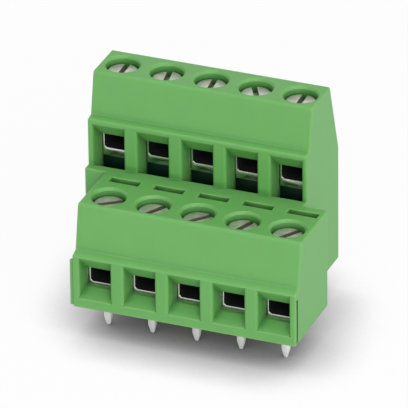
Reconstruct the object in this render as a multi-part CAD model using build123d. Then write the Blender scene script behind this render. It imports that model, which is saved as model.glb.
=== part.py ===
from build123d import *
import os

os.makedirs("parts", exist_ok=True)

# Two-level screw terminal block for a circuit board. All sizes are in millimetres.
# X runs along the rows, Y runs from the wire side to the back, Z is up.
# The origin is the middle of the block's footprint at the tips of the solder pins.

# The block as a whole
WAYS = 5
PITCH = 5.08
STAGGER = PITCH / 2
DEPTH = 20.0
TIER_RISE = 10.45
TIER_SETBACK = 10.5
TIER_TOPS = (11.48, 11.35)
REAR_BLOCK_FRONT = 9.5
UPPER_SIDE_GAP = 0.17
EDGE_BREAK = 0.12

# Outline of one tier, seen from the end
LEDGE_HEIGHTS = (6.07, 6.42)
LEDGE_SLOPES = (0.36, 0.2)
LEDGE_DEPTH = 0.95
TOP_FRONT = 1.85
TOP_FRONT_ROUND = 0.45
LEDGE_ROUND = 0.25
UPPER_TOP_BACK = 17.5
BACK_KNEE = 13.5

# Wire entries
ENTRY_HALF_WIDTH = 1.8
ENTRY_FLOOR = 1.05
ENTRY_TOP = 5.92
ENTRY_ROUND = 0.3
THROAT_HALF_WIDTH = 1.62
THROAT_DEPTH = 1.5
LOWER_THROAT_FLOOR = 1.87
THROAT_LIP = 4.2
UPPER_ENTRY_DROP = 1.3

# Clamp cage and its chamber
CLAMP_Y = 4.4
CAGE_WIDTH = 3.5
CAGE_LENGTH = 4.2
CAGE_SIDE = 0.35
CAGE_BASE = 0.9
CAGE_TOP_PLATE = 1.1
CAGE_OPEN_Z = 1.2
CAGE_TRAVEL = 2.1
CAGE_CORNER = 0.25
CAGE_EDGE = 0.15
CAGE_TOP_CORNER = 0.12
CAGE_PLAY = 0.08
CHAMBER_HEADROOM = 0.08

# Current bar, legs and solder pins
STRIP = 0.7
BAR_SIDE_GAP = 0.25
BAR_FRONT = 2.4
BAR_TO_PLATE = 0.12
LEG_HALF_WIDTH = 1.95
LEG_GAP = 0.25
FOOT_LIFT = 0.05
STRIP_BEND = 0.5
PIN_LENGTH = 3.6
PIN_ROW = 3.7
PIN_ROW_GAP = 10.16
PIN_WIDTH = 0.8
PIN_POINT = 1.0
PIN_TIP = 0.35

# Clamp screw and its well
HEAD_RADIUS = 1.65
HEAD_HEIGHT = 1.5
HEAD_DEPTH = 0.8
DRIVE_WIDTH = 0.6
DRIVE_DEPTH = 0.75
THREAD_RADIUS = 1.25
SCREW_RUNNING_CLEARANCE = 0.1
THREAD_CLEARANCE = 0.03
TIP_GAP = 0.03
WELL_RADIUS = 1.83
WELL_MOUTH_RADIUS = 2.06
WELL_MOUTH_DEPTH = 0.25
LOWER_SLOT_ANGLES = (36, 61, 50, 70, 58)
UPPER_SLOT_ANGLES = (93, 100, 97, 118, 93)

# Marker slots in the lower deck
MARKER_FRONT = 7.55
MARKER_WIDTH = 1.0
MARKER_LENGTH = 3.42
MARKER_SHIFT = 0.32
MARKER_DEPTH = 2.0

# Tongue and groove on the ends of the lower tier
TONGUE_OUT = 0.4
TONGUE_FRONT = 0.3
TONGUE_WIDTH = 0.35
TONGUE_HEIGHT = 5.35
TONGUE_CLEARANCE = 0.05

# Core pockets in the underside, between the two rows of chambers
POCKET_HALF_WIDTH = 1.6
POCKET_FRONT = 9.0
POCKET_BACK = 11.6
POCKET_HEIGHT = 9.3

# Places that follow from the sizes above
FRONT = -DEPTH / 2
SEAT = PIN_LENGTH
HALF_LOWER = WAYS * PITCH / 2
HALF_UPPER = HALF_LOWER - UPPER_SIDE_GAP
LOWER_MIDDLE = (STAGGER + HALF_UPPER - HALF_LOWER) / 2
BAR_HALF_WIDTH = CAGE_WIDTH / 2 - CAGE_SIDE - BAR_SIDE_GAP
BAR_BOTTOM = CAGE_OPEN_Z + CAGE_BASE + CAGE_TRAVEL + BAR_TO_PLATE
BAR_TOP = BAR_BOTTOM + STRIP
CAGE_TOP = BAR_TOP + BAR_TO_PLATE + CAGE_TOP_PLATE
CHAMBER_TOP = CAGE_TOP + CAGE_TRAVEL + CHAMBER_HEADROOM
LEG_BACK = CLAMP_Y + CAGE_LENGTH / 2 + LEG_GAP + STRIP
UPPER_SILL = TIER_TOPS[0] - TIER_RISE
UPPER_ENTRY_FLOOR = UPPER_SILL - UPPER_ENTRY_DROP


def tier_middle(tier):
    return LOWER_MIDDLE - tier * STAGGER


def bay_x(tier, way):
    return tier_middle(tier) + (way - (WAYS - 1) / 2) * PITCH


def tier_y(tier):
    return FRONT + tier * TIER_SETBACK


def tier_z(tier):
    return SEAT + tier * TIER_RISE


def tier_top(tier):
    return tier_z(tier) + TIER_TOPS[tier]


def head_seat(tier):
    return tier_top(tier) - HEAD_DEPTH - HEAD_HEIGHT


def slab(x0, x1, y0, y1, z0, z1):
    size = Box(x1 - x0, y1 - y0, z1 - z0)
    return Pos((x0 + x1) / 2, (y0 + y1) / 2, (z0 + z1) / 2) * size


def drum(x, y, z0, z1, radius):
    return Pos(x, y, (z0 + z1) / 2) * Cylinder(radius, z1 - z0)


def rounded_profile(points, rounds):
    face = Polygon(*points, align=None)
    for index, radius in rounds.items():
        spot = Vector(*points[index], 0)
        corner = face.vertices().sort_by_distance(spot)[0]
        face = fillet(corner, radius)
    return face


def extruded(face, x0, x1):
    return extrude(Plane.YZ.offset(x0) * face, x1 - x0, dir=(1, 0, 0))


def broken_ends(body):
    ends = body.faces().sort_by(Axis.X)
    edges = ends[0].edges() + ends[-1].edges()
    return chamfer(edges, EDGE_BREAK)


# Housing outline
def lower_outline():
    y = tier_y(0)
    z = tier_z(0)
    back = FRONT + REAR_BLOCK_FRONT
    points = [
        (y, z),
        (y, z + LEDGE_HEIGHTS[0]),
        (y + LEDGE_DEPTH, z + LEDGE_HEIGHTS[0] + LEDGE_SLOPES[0]),
        (y + TOP_FRONT, z + TIER_TOPS[0]),
        (back, z + TIER_TOPS[0]),
        (back, z),
    ]
    return rounded_profile(points, {1: LEDGE_ROUND, 3: TOP_FRONT_ROUND})


def rear_outline():
    y = tier_y(1)
    z = tier_z(1)
    back = FRONT + DEPTH
    foot = FRONT + REAR_BLOCK_FRONT
    points = [
        (foot, SEAT),
        (foot, SEAT + TIER_TOPS[0]),
        (y, SEAT + TIER_TOPS[0]),
        (y, z + LEDGE_HEIGHTS[1]),
        (y + LEDGE_DEPTH, z + LEDGE_HEIGHTS[1] + LEDGE_SLOPES[1]),
        (y + TOP_FRONT, z + TIER_TOPS[1]),
        (FRONT + UPPER_TOP_BACK, z + TIER_TOPS[1]),
        (back, SEAT + BACK_KNEE),
        (back, SEAT),
    ]
    return rounded_profile(points, {3: LEDGE_ROUND, 5: TOP_FRONT_ROUND})


def outer_block():
    left = tier_middle(0) - HALF_LOWER
    right = tier_middle(0) + HALF_LOWER
    lower = broken_ends(extruded(lower_outline(), left, right))
    left = tier_middle(1) - HALF_UPPER
    right = tier_middle(1) + HALF_UPPER
    rear = broken_ends(extruded(rear_outline(), left, right))
    return lower + rear


# Screw well: flared mouth, bore down to the seat of the head, and hole for the shank
def well(tier, way):
    x = bay_x(tier, way)
    y = tier_y(tier) + CLAMP_Y
    top = tier_top(tier)
    seat = head_seat(tier)
    mouth_floor = top - WELL_MOUTH_DEPTH
    cone = Cone(WELL_RADIUS, WELL_MOUTH_RADIUS, WELL_MOUTH_DEPTH)
    mouth = Pos(x, y, (top + mouth_floor) / 2) * cone
    bore = drum(x, y, seat, mouth_floor, WELL_RADIUS)
    shank = drum(x, y, tier_z(tier) + CHAMBER_TOP, seat, THREAD_RADIUS + SCREW_RUNNING_CLEARANCE)
    return mouth + bore + shank


# Chamber for the cage, open to the underside so that the clamp goes in from below
def chamber(tier, way):
    x = bay_x(tier, way)
    y = tier_y(tier)
    base = tier_z(tier)
    half_x = CAGE_WIDTH / 2 + CAGE_PLAY
    front = y + CLAMP_Y - CAGE_LENGTH / 2 - CAGE_PLAY
    back = y + CLAMP_Y + CAGE_LENGTH / 2 + CAGE_PLAY
    room = slab(x - half_x, x + half_x, front, back, SEAT, base + CHAMBER_TOP)
    leg_slot = slab(x - LEG_HALF_WIDTH, x + LEG_HALF_WIDTH, back, y + LEG_BACK, SEAT, base + BAR_TOP)
    space = room + leg_slot
    if tier == 1:
        row = FRONT + PIN_ROW + PIN_ROW_GAP
        top = base + FOOT_LIFT + STRIP
        space += slab(x - LEG_HALF_WIDTH, x + LEG_HALF_WIDTH, row - STRIP / 2, row + STRIP / 2, SEAT, top)
    return space


# Wire entry: a tapered mouth and a straight throat that ends at the chamber.
# The upper one has its floor below the lower deck, so the deck's edge is its sill.
def entry(tier, way):
    x = bay_x(tier, way)
    y = tier_y(tier)
    base = tier_z(tier)
    mouth_floor = (ENTRY_FLOOR, UPPER_ENTRY_FLOOR)[tier]
    floor = (LOWER_THROAT_FLOOR, UPPER_ENTRY_FLOOR)[tier]
    height = ENTRY_TOP - mouth_floor
    inset = ENTRY_HALF_WIDTH - THROAT_HALF_WIDTH
    sill = floor - mouth_floor
    right = 2 * ENTRY_HALF_WIDTH - inset
    lintel = THROAT_LIP - mouth_floor
    taper = Wedge(
        2 * ENTRY_HALF_WIDTH, THROAT_DEPTH, height, inset, sill, right, lintel, align=Align.MIN
    )
    mouth = Pos(x - ENTRY_HALF_WIDTH, y, base + mouth_floor) * taper
    throat_y = y + THROAT_DEPTH
    end = y + CLAMP_Y - CAGE_LENGTH / 2
    half = THROAT_HALF_WIDTH
    throat = slab(x - half, x + half, throat_y, end, base + floor, base + THROAT_LIP)
    space = mouth + throat
    sill_z = base + (ENTRY_FLOOR, UPPER_SILL)[tier]
    for side in (-1, 1):
        space += post_round(x, side, y, sill_z, base + ENTRY_TOP)
    return space


# Takes the sharp edge off the post on one side of a wire entry
def post_round(x, side, y, z0, z1):
    taper = (ENTRY_HALF_WIDTH - THROAT_HALF_WIDTH) / THROAT_DEPTH
    inner = x + side * (ENTRY_HALF_WIDTH - taper * ENTRY_ROUND)
    outer = inner + side * ENTRY_ROUND
    corner = slab(min(inner, outer), max(inner, outer), y, y + ENTRY_ROUND, z0, z1)
    return corner - drum(outer, y + ENTRY_ROUND, z0, z1, ENTRY_ROUND)


def marker_slot(way):
    x = bay_x(0, way) + MARKER_SHIFT
    y = tier_y(0) + MARKER_FRONT
    top = tier_top(0)
    half = MARKER_LENGTH / 2
    return slab(x - half, x + half, y, y + MARKER_WIDTH, top - MARKER_DEPTH, top)


def core_pocket(way):
    x = bay_x(0, way)
    front = FRONT + POCKET_FRONT
    back = FRONT + POCKET_BACK
    return slab(x - POCKET_HALF_WIDTH, x + POCKET_HALF_WIDTH, front, back, SEAT, SEAT + POCKET_HEIGHT)


# Tongue on the left end and groove in the right end, where blocks are ganged
def tongue():
    left = tier_middle(0) - HALF_LOWER
    front = FRONT + TONGUE_FRONT
    back = front + TONGUE_WIDTH
    return slab(left - TONGUE_OUT, left + EDGE_BREAK, front, back, SEAT, SEAT + TONGUE_HEIGHT)


def groove():
    right = tier_middle(0) + HALF_LOWER
    front = FRONT + TONGUE_FRONT - TONGUE_CLEARANCE
    back = front + TONGUE_WIDTH + 2 * TONGUE_CLEARANCE
    depth = TONGUE_OUT + TONGUE_CLEARANCE
    return slab(right - depth, right, front, back, SEAT, SEAT + TONGUE_HEIGHT + TONGUE_CLEARANCE)


def housing():
    cuts = [groove()]
    for way in range(WAYS):
        cuts.append(marker_slot(way))
        for tier in (0, 1):
            cuts.append(well(tier, way))
            cuts.append(chamber(tier, way))
            cuts.append(entry(tier, way))
    for way in range(WAYS - 1):
        cuts.append(core_pocket(way))
    return (outer_block() + tongue()) - cuts


# Clamp screw with a slotted head
def screw(tier, way):
    x = bay_x(tier, way)
    y = tier_y(tier) + CLAMP_Y
    base = tier_z(tier)
    angle = (LOWER_SLOT_ANGLES, UPPER_SLOT_ANGLES)[tier][way]
    seat = head_seat(tier)
    head = drum(x, y, seat, seat + HEAD_HEIGHT, HEAD_RADIUS)
    shank = drum(x, y, base + BAR_TOP + TIP_GAP, seat, THREAD_RADIUS)
    blade = Box(2 * HEAD_RADIUS, DRIVE_WIDTH, DRIVE_DEPTH)
    drive = Pos(x, y, seat + HEAD_HEIGHT - DRIVE_DEPTH / 2) * Rot(0, 0, angle) * blade
    return head + shank - drive


# Clamp cage: a closed frame with the wire window through it and a tapped top plate
def cage(tier, way):
    x = bay_x(tier, way)
    y = tier_y(tier) + CLAMP_Y
    low = tier_z(tier) + CAGE_OPEN_Z
    high = tier_z(tier) + CAGE_TOP
    half_x = CAGE_WIDTH / 2
    half_y = CAGE_LENGTH / 2
    frame = slab(x - half_x, x + half_x, y - half_y, y + half_y, low, high)
    frame = chamfer(frame.edges().filter_by(Axis.Y), CAGE_EDGE)
    inner_x = half_x - CAGE_SIDE
    window_low = low + CAGE_BASE
    window = slab(x - inner_x, x + inner_x, y - half_y, y + half_y, window_low, high - CAGE_TOP_PLATE)
    corners = window.edges().filter_by(Axis.Y).group_by(Axis.Z)
    window = chamfer(corners[0], CAGE_CORNER)
    corners = window.edges().filter_by(Axis.Y).group_by(Axis.Z)
    window = chamfer(corners[-1], CAGE_TOP_CORNER)
    tapped = drum(x, y, high - CAGE_TOP_PLATE, high, THREAD_RADIUS + THREAD_CLEARANCE)
    return frame - window - tapped


# Solder pin: a straight shank with a point that is tapered on all sides
def pin(x, y):
    shoulder = SEAT - PIN_LENGTH + PIN_POINT
    left = x - PIN_WIDTH / 2
    right = x + PIN_WIDTH / 2
    shank = slab(left, right, y - STRIP / 2, y + STRIP / 2, shoulder, SEAT)
    side = (PIN_WIDTH - PIN_TIP) / 2
    face = (STRIP - PIN_TIP) / 2
    taper = Wedge(
        PIN_WIDTH, PIN_POINT, STRIP, side, face, side + PIN_TIP, face + PIN_TIP, align=Align.MIN
    )
    return shank + Pos(left, y - STRIP / 2, shoulder) * Rot(-90, 0, 0) * taper


# Contact: current bar through the cage window, back leg, foot and solder pin, one bent strip
def contact(tier, way):
    x = bay_x(tier, way)
    y = tier_y(tier)
    base = tier_z(tier)
    row = FRONT + PIN_ROW + tier * PIN_ROW_GAP
    foot_low = base + FOOT_LIFT
    foot_high = foot_low + STRIP
    back = y + LEG_BACK
    left = x - BAR_HALF_WIDTH
    right = x + BAR_HALF_WIDTH
    bar = slab(left, right, y + BAR_FRONT, back - STRIP, base + BAR_BOTTOM, base + BAR_TOP)
    leg = slab(x - LEG_HALF_WIDTH, x + LEG_HALF_WIDTH, back - STRIP, back, foot_low, base + BAR_TOP)
    bend = leg.edges().filter_by(Axis.X).group_by(Axis.Y)[-1].sort_by(Axis.Z)[-1]
    leg = fillet(bend, STRIP_BEND)
    foot = slab(left, right, row - STRIP / 2, back - STRIP, foot_low, foot_high)
    half = (PIN_WIDTH / 2, LEG_HALF_WIDTH)[tier]
    top = (foot_low, foot_high)[tier]
    drop = slab(x - half, x + half, row - STRIP / 2, row + STRIP / 2, SEAT, top)
    return bar + leg + foot + drop + pin(x, row)


export_step(housing(), "parts/housing.step")
for tier_name, tier_index in (("lower", 0), ("upper", 1)):
    for way_index in range(WAYS):
        label = f"{way_index + 1}"
        export_step(screw(tier_index, way_index), f"parts/{tier_name}_screw_{label}.step")
        export_step(cage(tier_index, way_index), f"parts/{tier_name}_cage_{label}.step")
        export_step(contact(tier_index, way_index), f"parts/{tier_name}_contact_{label}.step")
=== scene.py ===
import math
import bpy
import mathutils
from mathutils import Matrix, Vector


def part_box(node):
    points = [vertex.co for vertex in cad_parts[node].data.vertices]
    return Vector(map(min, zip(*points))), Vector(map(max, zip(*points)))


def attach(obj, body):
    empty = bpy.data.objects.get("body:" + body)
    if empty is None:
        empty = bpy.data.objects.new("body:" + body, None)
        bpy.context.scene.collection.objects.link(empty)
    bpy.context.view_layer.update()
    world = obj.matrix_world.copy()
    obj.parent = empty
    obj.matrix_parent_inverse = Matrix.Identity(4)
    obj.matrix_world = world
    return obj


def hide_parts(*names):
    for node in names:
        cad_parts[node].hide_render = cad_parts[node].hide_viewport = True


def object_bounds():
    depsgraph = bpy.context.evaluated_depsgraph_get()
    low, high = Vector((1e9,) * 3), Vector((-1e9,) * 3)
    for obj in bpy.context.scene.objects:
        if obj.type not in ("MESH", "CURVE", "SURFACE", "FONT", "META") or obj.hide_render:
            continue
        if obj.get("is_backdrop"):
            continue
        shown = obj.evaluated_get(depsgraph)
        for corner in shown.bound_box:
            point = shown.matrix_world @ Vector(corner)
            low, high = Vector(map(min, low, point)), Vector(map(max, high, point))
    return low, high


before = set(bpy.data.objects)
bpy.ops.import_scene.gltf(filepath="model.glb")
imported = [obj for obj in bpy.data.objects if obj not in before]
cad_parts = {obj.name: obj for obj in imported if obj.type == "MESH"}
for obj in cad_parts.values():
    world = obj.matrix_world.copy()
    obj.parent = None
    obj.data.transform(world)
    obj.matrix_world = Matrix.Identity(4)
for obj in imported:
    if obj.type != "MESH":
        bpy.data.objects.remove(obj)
cad_low, cad_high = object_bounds()


# The housing is one injection moulding in green polyamide, with the two rows of screw wells, the wire
# entries and the marker slots in it. Its skin is satin with a fine spark grain, and its corners are slightly
# soft and polished, as a mould leaves them. A painted highlight lightens the green on its convex edges,
# and painted shade darkens it in the recesses.
SOFT_EDGE, HIGHLIGHT_RADIUS, RECESS_DEPTH = 0.00018, 0.0004, 0.0012
EDGE_GAIN, HIGHLIGHT_SHARE, RECESS_GAIN, RECESS_CURVE = 4.5, 0.8, 1.12, 2.2
OPEN_FROM, OPEN_GAIN = 0.55, 4.0
GREEN_DARK, GREEN_LIGHT = (0.104, 0.335, 0.076, 1), (0.128, 0.372, 0.094, 1)
GREEN_PAINTED_SHADE, GREEN_PAINTED_HIGHLIGHT = (0.022, 0.150, 0.020, 1), (0.225, 0.500, 0.140, 1)


class Wire:
    """A node's output. Sums and products of wires add Math nodes; node() adds any other node."""

    def __init__(self, tree, socket=None):
        self.tree = tree
        self.socket = socket

    def node(self, kind, settings=None, inputs=None, output=0):
        new = self.tree.nodes.new(kind)
        for name, value in (settings or {}).items():
            setattr(new, name, value)
        for name, value in (inputs or {}).items():
            if isinstance(value, Wire):
                self.tree.links.new(value.socket, new.inputs[name])
            else:
                new.inputs[name].default_value = value
        return Wire(self.tree, new.outputs[output])

    def math(self, operation, first, second=0.0):
        return self.node("ShaderNodeMath", {"operation": operation}, {0: first, 1: second})

    def clamped(self):
        return self.node("ShaderNodeClamp", inputs={"Value": self})

    def __add__(self, other):
        return self.math("ADD", self, other)

    def __sub__(self, other):
        return self.math("SUBTRACT", self, other)

    def __rsub__(self, other):
        return self.math("SUBTRACT", other, self)

    def __mul__(self, other):
        return self.math("MULTIPLY", self, other)

    __radd__ = __add__
    __rmul__ = __mul__


def finish_of(name, **settings):
    material = bpy.data.materials.new(name)
    material.use_nodes = True
    shader = material.node_tree.nodes["Principled BSDF"]
    for socket, value in settings.items():
        shader.inputs[socket.replace("_", " ")].default_value = value
    return material, shader, Wire(material.node_tree)


def connect(shader, socket, wire):
    wire.tree.links.new(wire.socket, shader.inputs[socket])


def mixed(start, factor, first, second):
    """Two colours mixed by a factor: sockets 6 and 7 of the Mix node are its colours, 2 is the result."""
    return start.node("ShaderNodeMix", {"data_type": "RGBA"}, {0: factor, 6: first, 7: second}, 2)


def object_place(start):
    return start.node("ShaderNodeTexCoord", output="Object")


def noise(start, place, scale, detail, roughness=0.5):
    inputs = {"Vector": place, "Scale": scale, "Detail": detail, "Roughness": roughness}
    return start.node("ShaderNodeTexNoise", inputs=inputs)


def part_of(start, vector, axis):
    return start.node("ShaderNodeSeparateXYZ", inputs={0: vector}, output=axis)


moulding, shader, start = finish_of("green_moulding", IOR=1.5, Specular_IOR_Level=0.5)
here = object_place(start)
grain = noise(start, here, scale=9000.0, detail=3.0)
flow = noise(start, here, scale=260.0, detail=4.0, roughness=0.6)
green = mixed(start, flow, GREEN_DARK, GREEN_LIGHT)
soft = start.node("ShaderNodeBevel", {"samples": 8}, {"Radius": SOFT_EDGE})
wide = start.node("ShaderNodeBevel", {"samples": 8}, {"Radius": HIGHLIGHT_RADIUS})
flat = start.node("ShaderNodeNewGeometry", output="Normal")
turn = start.node("ShaderNodeVectorMath", {"operation": "DOT_PRODUCT"}, {0: wide, 1: flat}, "Value")
open_air = start.node("ShaderNodeAmbientOcclusion", {"samples": 8}, {"Distance": RECESS_DEPTH}, "AO")
# Painted highlight: a lighter green on the convex edges, found where a wide bevel normal turns away from the
# face's own, and kept out of recesses.
edge_highlight = ((1.0 - turn) * EDGE_GAIN).clamped() * ((open_air - OPEN_FROM) * OPEN_GAIN).clamped()
# Painted shade: the green turns dark where ambient occlusion finds walls close by, in slots, wells, entries
# and inner corners.
lit = start.math("POWER", (open_air * RECESS_GAIN).clamped(), RECESS_CURVE)
green_with_painted_shade = mixed(start, lit, GREEN_PAINTED_SHADE, green)
connect(shader, "Base Color", mixed(start, edge_highlight * HIGHLIGHT_SHARE, green_with_painted_shade, GREEN_PAINTED_HIGHLIGHT))
connect(shader, "Roughness", 0.38 + 0.10 * flow + 0.05 * grain - 0.08 * edge_highlight)
skin = start.node("ShaderNodeBump",
                  inputs={"Strength": 0.12, "Distance": 0.00001, "Height": grain, "Normal": soft})
connect(shader, "Normal", skin)
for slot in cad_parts["housing"].material_slots:
    slot.material = moulding


# Each contact is one stamped strip of matt tinned copper alloy with rolled-over edges, pushed up into
# the housing from below. Its bar passes through the cage and its end is the solder pin. Inside the
# housing its colour is painted a dark green, as painted shade tinted with the green of the walls around it.
STRIP_ROLL, ROLL_SEGMENTS, MERGE = 0.00005, 2, 0.000001
ROLL_ANGLE, SMOOTH_ANGLE, FLAT_ANGLE = math.radians(40), math.radians(35), math.radians(1)
PIN_TOP, INSIDE_GAIN = 0.0037, 2500.0
TIN_DARK, TIN_LIGHT = (0.86, 0.85, 0.83, 1), (0.97, 0.96, 0.94, 1)
TIN_PAINTED_SHADE = (0.003, 0.031, 0.015, 1)


def take_modifier(piece, kind, **settings):
    modifier = piece.modifiers.new(kind.lower(), kind)
    for name, value in settings.items():
        setattr(modifier, name, value)
    bpy.context.view_layer.objects.active = piece
    bpy.ops.object.modifier_apply(modifier=modifier.name)


def soft_edged(node, name, roll):
    bpy.ops.object.select_all(action="DESELECT")
    piece = bpy.data.objects.new(name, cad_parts[node].data.copy())
    bpy.context.collection.objects.link(piece)
    bpy.context.view_layer.objects.active = piece
    piece.select_set(True)
    bpy.ops.object.mode_set(mode="EDIT")
    bpy.ops.mesh.select_all(action="SELECT")
    bpy.ops.mesh.remove_doubles(threshold=MERGE)
    bpy.ops.mesh.dissolve_limited(angle_limit=FLAT_ANGLE)
    bpy.ops.object.mode_set(mode="OBJECT")
    take_modifier(piece, "BEVEL", width=roll, segments=ROLL_SEGMENTS, limit_method="ANGLE",
                  angle_limit=ROLL_ANGLE)
    bpy.ops.object.shade_smooth_by_angle(angle=SMOOTH_ANGLE)
    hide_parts(node)
    return piece


def dress(piece, material):
    piece.data.materials.clear()
    piece.data.materials.append(material)


tin, shader, start = finish_of("tinned_strip", Metallic=0.4)
here = object_place(start)
drawn = start.node("ShaderNodeMapping", inputs={"Vector": here, "Scale": (1.0, 1.0, 0.08)})
lines = noise(start, drawn, scale=12000.0, detail=2.0)
cloud = noise(start, here, scale=900.0, detail=3.0)
# Painted shade: above the pin's top, inside the housing, the tin is painted a dark green in place of the
# shade there.
inside = ((part_of(start, here, "Z") - PIN_TOP) * INSIDE_GAIN).clamped()
bright = mixed(start, cloud, TIN_DARK, TIN_LIGHT)
connect(shader, "Base Color", mixed(start, inside, bright, TIN_PAINTED_SHADE))
connect(shader, "Roughness", 0.32 + 0.16 * cloud + 0.06 * lines)
skin = start.node("ShaderNodeBump", inputs={"Strength": 0.15, "Distance": 0.00001, "Height": lines})
connect(shader, "Normal", skin)
for tier in ("lower", "upper"):
    for way in range(1, 6):
        strip = soft_edged(f"{tier}_contact_{way}", f"{tier}_contact_{way}_strip", STRIP_ROLL)
        dress(strip, tin)
        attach(strip, "block")


# The clamp cages are folded from steel strip and nickel plated. Each has a window with cut corners
# for the wire, and the screw runs in its tapped top plate and pulls it up against the bar. The outside
# is bright nickel, and the inside of the window is dulled and painted near black, as painted shade.
CAGE_ROLL, WINDOW_SHADE_DEPTH, WINDOW_SHADE_GAIN = 0.00004, 0.00003, 20000.0
NICKEL_DARK, NICKEL_LIGHT = (0.70, 0.69, 0.65, 1), (0.90, 0.88, 0.84, 1)
NICKEL_PAINTED_SHADE = (0.012, 0.012, 0.013, 1)


def cage_plate_and_shade(name, face):
    nickel, shader, start = finish_of(name)
    here = object_place(start)
    cloud = noise(start, here, scale=1500.0, detail=3.0)
    # Painted shade: behind the front face the inside of the window is painted near black and made dull and
    # less metallic.
    shaded_inner = ((part_of(start, here, "Y") - (face + WINDOW_SHADE_DEPTH)) * WINDOW_SHADE_GAIN).clamped()
    bright = mixed(start, cloud, NICKEL_DARK, NICKEL_LIGHT)
    connect(shader, "Base Color", mixed(start, shaded_inner, bright, NICKEL_PAINTED_SHADE))
    connect(shader, "Metallic", 1.0 - 0.8 * shaded_inner)
    connect(shader, "Roughness", 0.18 + 0.14 * cloud + 0.4 * shaded_inner)
    return nickel


for tier in ("lower", "upper"):
    low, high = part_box(f"{tier}_cage_1")
    plate = cage_plate_and_shade(f"{tier}_cage_plate_and_shade", low[1])
    for way in range(1, 6):
        cage = soft_edged(f"{tier}_cage_{way}", f"{tier}_cage_{way}_frame", CAGE_ROLL)
        dress(cage, plate)
        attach(cage, f"{tier}_cage_{way}")


# The clamp screws are turned from steel and zinc plated: a slotted head that sits at the bottom of
# its well, a short neck, and a right-hand thread down to the current bar. The lathe leaves fine rings
# on the head, and the slot is sawn across it.
HEAD_RADIUS, HEAD_HEIGHT, HEAD_ROUND, HEAD_SIDES, NECK_RADIUS = 0.00165, 0.0015, 0.00012, 64, 0.00101
SLOT_WIDTH, SLOT_DEPTH, SLOT_BURR = 0.0006, 0.00075, 0.00005
THREAD_RADIUS, THREAD_ROOT, THREAD_PITCH, THREAD_STEPS = 0.00125, 0.00099, 0.00045, 28
THREAD_TOP, THREAD_TIP, TIP_TAPER = -0.0006, -0.0040, 0.82
# In pitches: how far below the tip the thread begins, to be whole where it is cut, and the taper's height.
THREAD_START, TAPER_HEIGHT = 1.4, 0.4
ROOT_SHARE, FLANK_SHARE, CREST_SHARE = 0.25, 0.31, 0.13
CUT_REACH, HEAD_SMOOTH, MILLIMETRE = 0.0000001, math.radians(30), 0.001
ZINC_DARK, ZINC_LIGHT, ZINC_SAWN = (0.42, 0.41, 0.37, 1), (0.78, 0.75, 0.69, 1), (0.34, 0.31, 0.26, 1)
RING_WAVES = 90.0
# Degrees that each slot stands turned at rest, from the left.
SLOT_TURNS = {"lower": (36, 61, 50, 70, 58), "upper": (93, 100, 97, 118, 93)}


def pick(piece, wanted):
    """Goes into edit mode with only those points of the piece selected that are wanted by their place."""
    bpy.context.view_layer.objects.active = piece
    bpy.ops.object.mode_set(mode="EDIT")
    bpy.ops.mesh.select_all(action="DESELECT")
    bpy.ops.object.mode_set(mode="OBJECT")
    for vertex in piece.data.vertices:
        vertex.select = wanted(vertex.co)
    bpy.ops.object.mode_set(mode="EDIT")


bpy.ops.object.select_all(action="DESELECT")
bpy.ops.mesh.primitive_plane_add(size=THREAD_PITCH, location=(0, 0, 0))
thread = bpy.context.object
thread.name = "thread"
bpy.ops.object.mode_set(mode="EDIT")
bpy.ops.mesh.select_all(action="SELECT")
bpy.ops.mesh.merge(type="CENTER")
bpy.ops.transform.translate(value=(THREAD_ROOT, 0, THREAD_TIP - THREAD_START * THREAD_PITCH))
crest = THREAD_RADIUS - THREAD_ROOT
# One pitch of the thread's profile: root, flank, crest and flank, each a share of the pitch.
for out, rise in ((0, ROOT_SHARE), (crest, FLANK_SHARE), (0, CREST_SHARE), (-crest, FLANK_SHARE)):
    bpy.ops.mesh.extrude_vertices_move(TRANSFORM_OT_translate={"value": (out, 0, rise * THREAD_PITCH)})
bpy.ops.object.mode_set(mode="OBJECT")
turns = math.ceil((THREAD_TOP - THREAD_TIP) / THREAD_PITCH) + 2
take_modifier(thread, "SCREW", screw_offset=THREAD_PITCH, iterations=turns, steps=THREAD_STEPS,
              render_steps=THREAD_STEPS)
bpy.ops.object.mode_set(mode="EDIT")
bpy.ops.mesh.select_all(action="SELECT")
bpy.ops.mesh.remove_doubles(threshold=2 * MERGE)
for place, way in ((THREAD_TIP, -1), (THREAD_TOP, 1)):
    bpy.ops.mesh.select_all(action="SELECT")
    bpy.ops.mesh.bisect(plane_co=(0, 0, place), plane_no=(0, 0, way), use_fill=True, clear_outer=True,
                        threshold=CUT_REACH)
bpy.ops.mesh.select_all(action="SELECT")
bpy.ops.mesh.normals_make_consistent(inside=False)
bpy.ops.object.mode_set(mode="OBJECT")

bpy.ops.object.select_all(action="DESELECT")
bpy.ops.mesh.primitive_cylinder_add(vertices=HEAD_SIDES, radius=HEAD_RADIUS, depth=HEAD_HEIGHT,
                                    location=(0, 0, HEAD_HEIGHT / 2))
bpy.ops.object.transform_apply(location=True)
screw = bpy.context.object
screw.name = "screw"
take_modifier(screw, "BEVEL", width=HEAD_ROUND, segments=3, limit_method="ANGLE")
pick(screw, lambda place: place.z < CUT_REACH)
bpy.ops.mesh.inset(thickness=HEAD_RADIUS - HEAD_ROUND - NECK_RADIUS)
bpy.ops.mesh.extrude_region_move(TRANSFORM_OT_translate={"value": (0, 0, THREAD_TOP - THREAD_PITCH / 2)})
bpy.ops.object.mode_set(mode="OBJECT")
take_modifier(screw, "BOOLEAN", operation="UNION", object=thread, solver="EXACT")
bpy.ops.object.select_all(action="DESELECT")
bpy.ops.mesh.primitive_cube_add(size=1, location=(0, 0, HEAD_HEIGHT))
saw = bpy.context.object
saw.scale = (4 * HEAD_RADIUS, SLOT_WIDTH, 2 * SLOT_DEPTH)
bpy.ops.object.transform_apply(location=True, scale=True)
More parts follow.
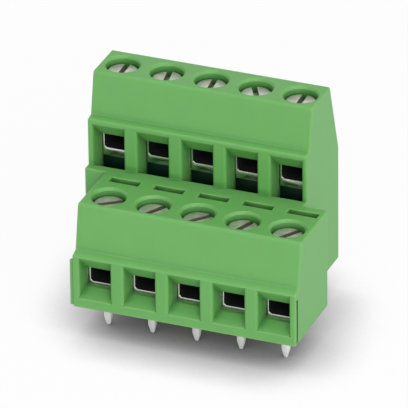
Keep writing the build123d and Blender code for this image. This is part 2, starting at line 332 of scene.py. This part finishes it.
take_modifier(screw, "BOOLEAN", operation="DIFFERENCE", object=saw, solver="EXACT")
pick(screw, lambda place: place.z > HEAD_HEIGHT - MERGE and abs(abs(place.y) - SLOT_WIDTH / 2) < MERGE)
bpy.ops.mesh.bevel(offset=SLOT_BURR, segments=2)
bpy.ops.object.mode_set(mode="OBJECT")
bpy.data.objects.remove(saw)
bpy.data.objects.remove(thread)
bpy.ops.object.select_all(action="DESELECT")
screw.select_set(True)
bpy.context.view_layer.objects.active = screw
pick(screw, lambda place: place.z < THREAD_TIP + THREAD_PITCH * TAPER_HEIGHT)
bpy.ops.transform.resize(value=(TIP_TAPER, TIP_TAPER, 1), center_override=(0, 0, 0))
bpy.ops.mesh.select_all(action="SELECT")
bpy.ops.mesh.remove_doubles(threshold=MERGE)
bpy.ops.object.mode_set(mode="OBJECT")
bpy.ops.object.shade_smooth_by_angle(angle=HEAD_SMOOTH)
turned = screw.data.uv_layers.new(name="turned")
for loop in screw.data.loops:
    place = screw.data.vertices[loop.vertex_index].co
    turned.data[loop.index].uv = (place.x / MILLIMETRE, place.y / MILLIMETRE)
sawn = screw.data.uv_layers.new(name="sawn")
slot_side, slot_floor = SLOT_WIDTH / 2 + MERGE, HEAD_HEIGHT - SLOT_DEPTH - MERGE
for face in screw.data.polygons:
    cut = float(abs(face.center.y) < slot_side and face.center.z > slot_floor)
    for index in face.loop_indices:
        sawn.data[index].uv = (cut, cut)

zinc, shader, start = finish_of("zinc_plate", Metallic=1.0)
here = object_place(start)
across = start.node("ShaderNodeUVMap", {"uv_map": "turned"})
radius = start.node("ShaderNodeVectorMath", {"operation": "LENGTH"}, {0: across}, "Value")
rings = start.math("SINE", radius * RING_WAVES)
cloud = noise(start, here, scale=1500.0, detail=3.0)
speck = noise(start, here, scale=7000.0, detail=2.0)
slot = part_of(start, start.node("ShaderNodeUVMap", {"uv_map": "sawn"}), "X")
plate = mixed(start, cloud, ZINC_DARK, ZINC_LIGHT)
connect(shader, "Base Color", mixed(start, slot, plate, ZINC_SAWN))
connect(shader, "Roughness", 0.28 + 0.22 * cloud + 0.06 * speck + 0.2 * slot)
marks = 0.5 * rings + 1.5 * speck + 2.0 * cloud
skin = start.node("ShaderNodeBump", inputs={"Strength": 0.5, "Distance": 0.000012, "Height": marks})
connect(shader, "Normal", skin)
for tier in ("lower", "upper"):
    for way, degrees in enumerate(SLOT_TURNS[tier], 1):
        low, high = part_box(f"{tier}_screw_{way}")
        seat = ((low[0] + high[0]) / 2, (low[1] + high[1]) / 2, high[2] - HEAD_HEIGHT)
        turn = mathutils.Matrix.Rotation(math.radians(degrees), 4, "Z")
        piece = bpy.data.objects.new(f"{tier}_screw_{way}_turned", screw.data.copy())
        piece.data.transform(mathutils.Matrix.Translation(seat) @ turn)
        bpy.context.collection.objects.link(piece)
        dress(piece, zinc)
        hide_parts(f"{tier}_screw_{way}")
        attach(piece, f"{tier}_screw_{way}")
bpy.data.objects.remove(screw)


# The table is a plain white sweep of card, which glows white where it is seen. Its soft shadow round the
# block and between its pins is mostly a painted shadow in that glow, and a small share its real shading.
SWEEP_SIZE, CARD_WHITE = 3.0, (0.85, 0.85, 0.85, 1)
SHADE_REACH, SHADE_GAIN, SHADE_CURVE, GLOW_SHARE = 0.0105, 1.25, 1.6, 0.92

bpy.ops.object.select_all(action="DESELECT")
bpy.ops.mesh.primitive_plane_add(size=SWEEP_SIZE, location=(0, 0, cad_low[2]))
sweep = bpy.context.object
sweep.name = "sweep"
card, shader, start = finish_of("white_card", Roughness=0.9, Specular_IOR_Level=0.0)
shader.inputs["Base Color"].default_value = CARD_WHITE


def seen(start):
    """1 for rays from the camera, or by way of a shiny or clear piece, and 0 for the light on the object."""
    kinds = ("Camera", "Glossy", "Transmission")
    return sum(start.node("ShaderNodeLightPath", output=f"Is {kind} Ray") for kind in kinds).clamped()


# Painted shadow: the glow is darkened where ambient occlusion finds the block near, in place of a cast
# shadow.
open_sky = start.node("ShaderNodeAmbientOcclusion", {"samples": 16}, {"Distance": SHADE_REACH}, "AO")
shade = (SHADE_GAIN * start.math("POWER", open_sky, SHADE_CURVE)).clamped()
white = mixed(start, shade, (0, 0, 0, 1), (1, 1, 1, 1))
glow = start.node("ShaderNodeEmission", inputs={"Color": white, "Strength": 1.0})
surface = start.node("ShaderNodeMixShader",
                     inputs={0: seen(start) * GLOW_SHARE, 1: Wire(start.tree, shader.outputs[0]), 2: glow})
card.node_tree.links.new(surface.socket, card.node_tree.nodes["Material Output"].inputs["Surface"])
sweep.data.materials.append(card)
sweep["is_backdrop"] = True


# Soft studio light: a white surround like a light tent, with a broad panel above and three smaller ones
# toward the wire side and the right end.
TENT_LEVEL = 0.38

world = bpy.data.worlds.new("surround")
bpy.context.scene.world = world
world.use_nodes = True
tent = world.node_tree.nodes["Background"]
tent.inputs["Color"].default_value = (1, 1, 1, 1)
brightness = TENT_LEVEL + (1.0 - TENT_LEVEL) * seen(Wire(world.node_tree))
world.node_tree.links.new(brightness.socket, tent.inputs["Strength"])


def panel(name, place, size, watts):
    lamp = bpy.data.lights.new(name, "AREA")
    lamp.shape = "SQUARE"
    lamp.size = size
    lamp.energy = watts
    holder = bpy.data.objects.new(name, lamp)
    holder.location = place
    holder.rotation_euler = (-mathutils.Vector(place)).to_track_quat("-Z", "Y").to_euler()
    bpy.context.collection.objects.link(holder)


panel("top_panel", place=(0.05, -0.12, 1.19), size=1.2, watts=6.3)
panel("side_panel", place=(0.60, -0.75, 0.55), size=0.6, watts=4.1)
panel("front_panel", place=(0.15, -1.1, 0.12), size=0.6, watts=4.0)
panel("right_panel", place=(1.1, -0.1, 0.15), size=0.6, watts=4.4)


# The camera stands well back with a long lens, in front of the wire side and a little above, as in the
# photograph.
AZIMUTH, ELEVATION, ROLL = (math.radians(v) for v in (21.9515, 28.1676, -0.6673))
DISTANCE, ACROSS, UP = 0.7511975, 0.0004855, -0.0115034
FOCAL_PIXELS, FRAME_PIXELS, SENSOR = 7000.0, 408, 36.0
back = mathutils.Vector((math.sin(AZIMUTH) * math.cos(ELEVATION), -math.cos(AZIMUTH) * math.cos(ELEVATION),
                         math.sin(ELEVATION)))
level = mathutils.Vector((math.cos(AZIMUTH), math.sin(AZIMUTH), 0))
upright = back.cross(level)
right = math.cos(ROLL) * level + math.sin(ROLL) * upright
up = math.cos(ROLL) * upright - math.sin(ROLL) * level
lens = bpy.data.cameras.new("camera")
lens.sensor_width = SENSOR
lens.lens = FOCAL_PIXELS * SENSOR / FRAME_PIXELS
camera = bpy.data.objects.new("camera", lens)
stand = mathutils.Matrix.Translation(DISTANCE * back - ACROSS * right - UP * up)
camera.matrix_world = stand @ mathutils.Matrix((right, up, back)).transposed().to_4x4()
bpy.context.collection.objects.link(camera)
bpy.context.scene.camera = camera
bpy.context.scene.view_settings.view_transform = "Standard"

low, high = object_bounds()
